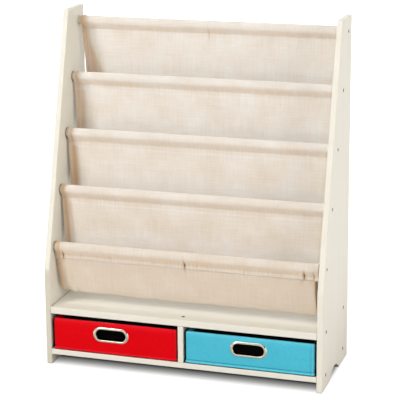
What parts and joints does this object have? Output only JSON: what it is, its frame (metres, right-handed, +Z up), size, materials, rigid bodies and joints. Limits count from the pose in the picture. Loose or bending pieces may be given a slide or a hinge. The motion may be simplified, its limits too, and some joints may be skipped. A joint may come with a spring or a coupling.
{
  "type": "sling bookshelf",
  "caption": "Low child's bookshelf: slanted side panels with arched feet, a canvas sling of hanging pockets on rods, and pull-out fabric bins under a shelf.",
  "frame": {"origin": "middle of the box's bottom face, on the floor midway between the side panels and midway from front to back", "axes": "+Z up, -Y towards the front that a reader faces, +X to the reader's right"},
  "size_m": [0.62, 0.24, 0.762],
  "materials": {
    "cream_paint": "satin cream paint on board",
    "rod_wood": "bare sanded softwood",
    "canvas": "natural woven canvas",
    "screw_steel": "dark oxidised steel",
    "chrome": "polished chrome plate",
    "red_fabric": "felted non-woven fabric",
    "blue_fabric": "felted non-woven fabric",
    "grey_board": "raw greyboard",
    "black_lining": "black non-woven fabric"
  },
  "bodies": {
    "frame": {"left_side_panel": "cream_paint", "right_side_panel": "cream_paint", "storage_shelf": "cream_paint", "bottom_board": "cream_paint", "center_divider": "cream_paint", "bay_back_panel": "cream_paint", "rod_1": "rod_wood", "rod_2": "rod_wood", "rod_3": "rod_wood", "rod_4": "rod_wood", "rod_5": "rod_wood", "rod_tunnel_1": "canvas", "rod_tunnel_2": "canvas", "rod_tunnel_3": "canvas", "rod_tunnel_4": "canvas", "rod_tunnel_5": "canvas", "sling_pocket_1": "canvas", "sling_pocket_2": "canvas", "sling_pocket_3": "canvas", "sling_pocket_4": "canvas", "left_rod_screw_1": "screw_steel", "left_rod_screw_2": "screw_steel", "left_rod_screw_3": "screw_steel", "left_rod_screw_4": "screw_steel", "left_rod_screw_5": "screw_steel", "right_rod_screw_1": "screw_steel", "right_rod_screw_2": "screw_steel", "right_rod_screw_3": "screw_steel", "right_rod_screw_4": "screw_steel", "right_rod_screw_5": "screw_steel", "left_shelf_screw_front": "screw_steel", "left_shelf_screw_back": "screw_steel", "left_bottom_screw_front": "screw_steel", "left_bottom_screw_back": "screw_steel", "right_shelf_screw_front": "screw_steel", "right_shelf_screw_back": "screw_steel", "right_bottom_screw_front": "screw_steel", "right_bottom_screw_back": "screw_steel", "divider_top_screw_front": "screw_steel", "divider_bottom_screw_front": "screw_steel", "divider_top_screw_back": "screw_steel", "divider_bottom_screw_back": "screw_steel"},
    "red_bin": {"red_bin_cover": "red_fabric", "red_bin_wall_board": "grey_board", "red_bin_lining": "black_lining", "red_bin_base_board": "black_lining", "red_bin_handle_ring": "chrome", "red_bin_handle_washer": "chrome"},
    "blue_bin": {"blue_bin_cover": "blue_fabric", "blue_bin_wall_board": "grey_board", "blue_bin_lining": "black_lining", "blue_bin_base_board": "black_lining", "blue_bin_handle_ring": "chrome", "blue_bin_handle_washer": "chrome"}
  },
  "joints": [
    {"name": "red_bin_slide", "type": "slide", "parent": "frame", "child": "red_bin", "axis": [0, -1, 0], "range_m": [0, 0.2]},
    {"name": "blue_bin_slide", "type": "slide", "parent": "frame", "child": "blue_bin", "axis": [0, -1, 0], "range_m": [0, 0.2]}
  ]
}
